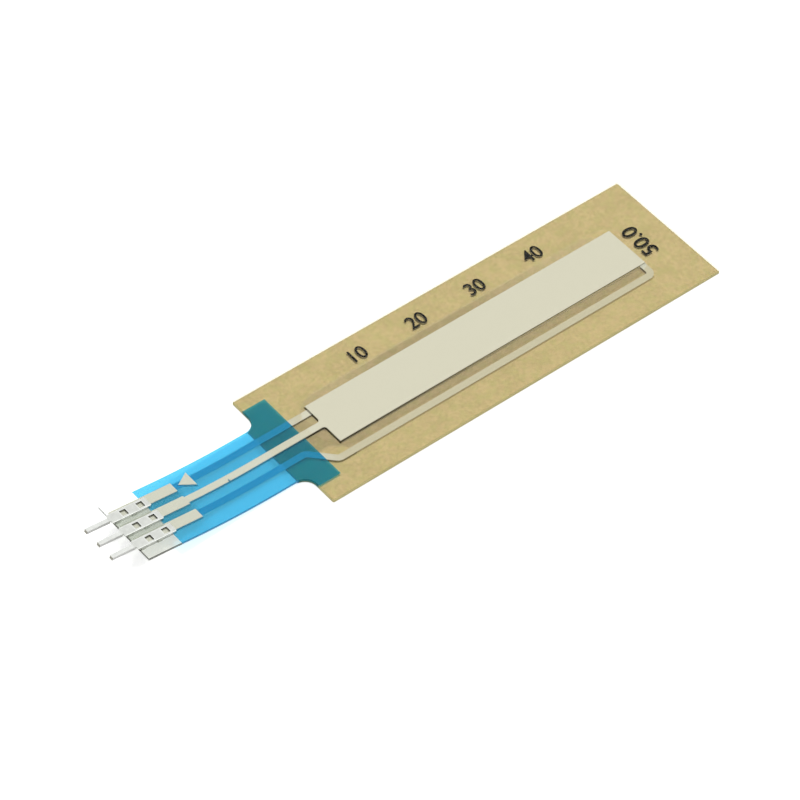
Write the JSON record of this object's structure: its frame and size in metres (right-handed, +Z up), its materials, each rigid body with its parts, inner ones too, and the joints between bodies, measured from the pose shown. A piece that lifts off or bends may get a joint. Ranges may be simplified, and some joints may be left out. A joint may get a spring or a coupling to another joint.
{
  "type": "membrane potentiometer",
  "caption": "Thin linear membrane potentiometer strip: clear films on an adhesive-backed body with a wide silver collector, and a blue insulated tail that ends in crimped pins",
  "frame": {"origin": "middle of the flat underside of the body, on the face that rests on the table or is stuck down", "axes": "+X along the strip, away from the tail and its pins; +Y across the strip, towards the pin 1 side; +Z up, out of the sensing side"},
  "size_m": [0.0947, 0.0204, 0.003],
  "materials": {
    "kraft_liner": "coated kraft paper",
    "adhesive": "tacky film",
    "clear_film": "clear polyester film",
    "clear_adhesive": "clear adhesive film",
    "silver_ink": "printed silver ink",
    "carbon_ink": "printed carbon ink",
    "blue_insulation": "printed translucent insulation",
    "tin_plate": "bright tin plating"
  },
  "bodies": {
    "root": {"release_liner": "kraft_liner", "rear_adhesive": "adhesive", "base_film": "clear_film", "pin_1_trace": "silver_ink", "pin_3_trace": "silver_ink", "resistor_track": "carbon_ink", "tail_insulation": "blue_insulation", "spacer": "clear_adhesive", "collector": "silver_ink", "pin_1_pad": "silver_ink", "pin_3_pad": "silver_ink", "pin_1_mark": "silver_ink", "top_film": "clear_film", "contact_1": "tin_plate", "contact_2": "tin_plate", "contact_3": "tin_plate"}
  },
  "joints": []
}
